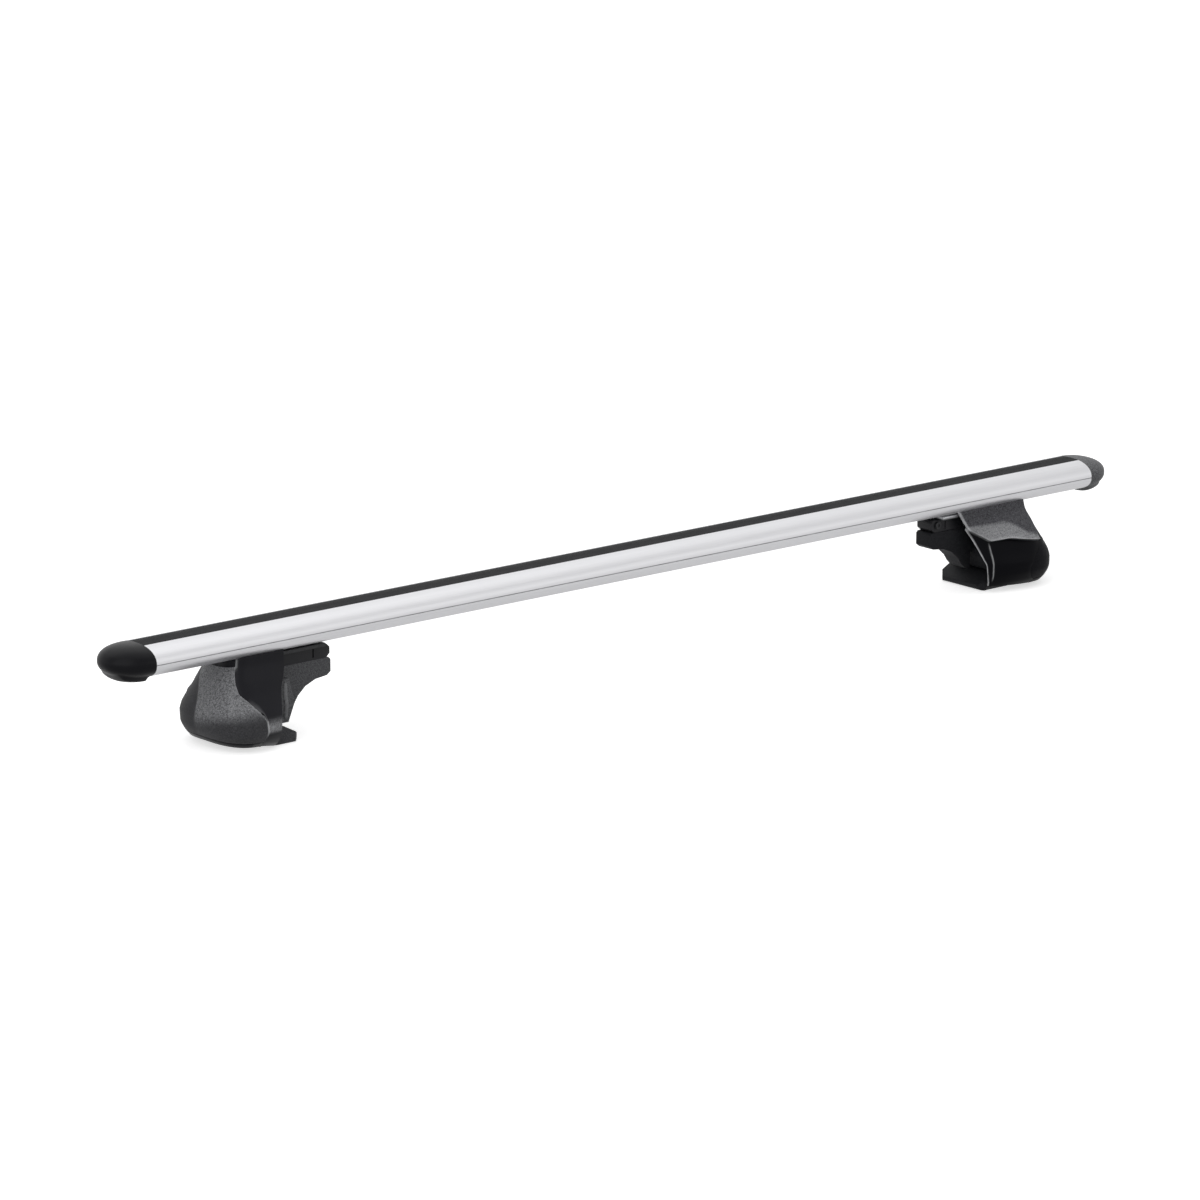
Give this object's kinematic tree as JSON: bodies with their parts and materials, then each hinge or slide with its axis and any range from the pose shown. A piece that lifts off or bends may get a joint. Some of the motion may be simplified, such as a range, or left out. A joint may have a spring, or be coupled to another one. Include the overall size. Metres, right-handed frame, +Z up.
{
  "type": "roof rack crossbar",
  "caption": "Aero-section aluminium roof rack crossbar with black end caps, a rubber top strip and sliding clamp feet for raised rails.",
  "frame": {"origin": "on the ground below the middle of the bar, at the centre of the part's outline seen from above", "axes": "+X along the bar, across the vehicle; +Y along the roof rails; +Z up from the rails"},
  "size_m": [1.18, 0.1016, 0.1055],
  "materials": {
    "bar_alloy": "bright anodised extrusion with fine lengthwise drawing lines",
    "strip_rubber": "black rubber with fine lengthwise ribs",
    "cap_plastic": "black moulded plastic, fine grain",
    "housing_plastic": "smooth black moulded plastic, fine grain on the inboard side",
    "cover_plastic": "charcoal moulded plastic with a coarse sparkling grain",
    "bracket_steel": "dark zinc-coated pressed steel",
    "plate_steel": "zinc-coated steel",
    "bolt_steel": "zinc-coated hexagon bolts",
    "pad_rubber": "dark grey moulded rubber, grained",
    "screw_steel": "zinc-coated steel",
    "nose_plastic": "black moulded plastic, satin",
    "nose_screw_steel": "bright socket screw",
    "jaw_steel": "dark zinc-coated pressed steel",
    "toe_rubber": "dark grey moulded rubber, grained",
    "nut_steel": "zinc-coated steel, welded to the jaw",
    "tension_steel": "zinc-coated screw",
    "knob_plastic": "black moulded plastic, ribbed",
    "clip_steel": "sprung steel clip",
    "washer_steel": "zinc-coated washer"
  },
  "bodies": {
    "bar": {"bar_extrusion": "bar_alloy", "top_strip": "strip_rubber", "end_cap_left": "cap_plastic", "end_cap_right": "cap_plastic"},
    "foot_left": {"foot_housing_left": "housing_plastic", "support_bracket_left": "bracket_steel", "slot_plate_left": "plate_steel", "bar_bolts_left": "bolt_steel", "rail_pad_left": "pad_rubber", "pad_screws_left": "screw_steel", "nose_block_left": "nose_plastic", "nose_screw_left": "nose_screw_steel", "thrust_washer_left": "washer_steel"},
    "cover_left": {"foot_cover_left": "cover_plastic"},
    "jaw_left": {"clamp_jaw_left": "jaw_steel", "toe_pad_left": "toe_rubber", "jaw_nut_left": "nut_steel"},
    "screw_left": {"tension_screw_left": "tension_steel", "clamp_knob_left": "knob_plastic", "screw_clip_left": "clip_steel"},
    "foot_right": {"foot_housing_right": "housing_plastic", "support_bracket_right": "bracket_steel", "slot_plate_right": "plate_steel", "bar_bolts_right": "bolt_steel", "rail_pad_right": "pad_rubber", "pad_screws_right": "screw_steel", "nose_block_right": "nose_plastic", "nose_screw_right": "nose_screw_steel", "thrust_washer_right": "washer_steel"},
    "cover_right": {"foot_cover_right": "cover_plastic"},
    "jaw_right": {"clamp_jaw_right": "jaw_steel", "toe_pad_right": "toe_rubber", "jaw_nut_right": "nut_steel"},
    "screw_right": {"tension_screw_right": "tension_steel", "clamp_knob_right": "knob_plastic", "screw_clip_right": "clip_steel"}
  },
  "joints": [
    {"name": "foot_slide_left", "type": "slide", "parent": "bar", "child": "foot_left", "axis": [1, 0, 0], "range_m": [-0.05, 0.1]},
    {"name": "cover_slide_left", "type": "slide", "parent": "foot_left", "child": "cover_left", "axis": [-1, 0, 0], "range_m": [0, 0.028]},
    {"name": "jaw_lift_left", "type": "slide", "parent": "foot_left", "child": "jaw_left", "axis": [0, 0, -1], "range_m": [0, 0.012]},
    {"name": "screw_turn_left", "type": "hinge", "parent": "foot_left", "child": "screw_left", "pos_m": [-0.453, 0, 0.05], "axis": [0, 0, 1], "range_deg": [0, 1440]},
    {"name": "foot_slide_right", "type": "slide", "parent": "bar", "child": "foot_right", "axis": [-1, 0, 0], "range_m": [-0.04, 0.1]},
    {"name": "cover_slide_right", "type": "slide", "parent": "foot_right", "child": "cover_right", "axis": [1, 0, 0], "range_m": [0, 0.028]},
    {"name": "jaw_lift_right", "type": "slide", "parent": "foot_right", "child": "jaw_right", "axis": [0, 0, -1], "range_m": [0, 0.012]},
    {"name": "screw_turn_right", "type": "hinge", "parent": "foot_right", "child": "screw_right", "pos_m": [0.463, 0, 0.05], "axis": [0, 0, 1], "range_deg": [0, 1440]}
  ],
  "couplings": [
    {"joint": "screw_turn_left", "follows": "jaw_lift_left", "rad_per_m": 2094.4},
    {"joint": "screw_turn_right", "follows": "jaw_lift_right", "rad_per_m": 2094.4}
  ]
}
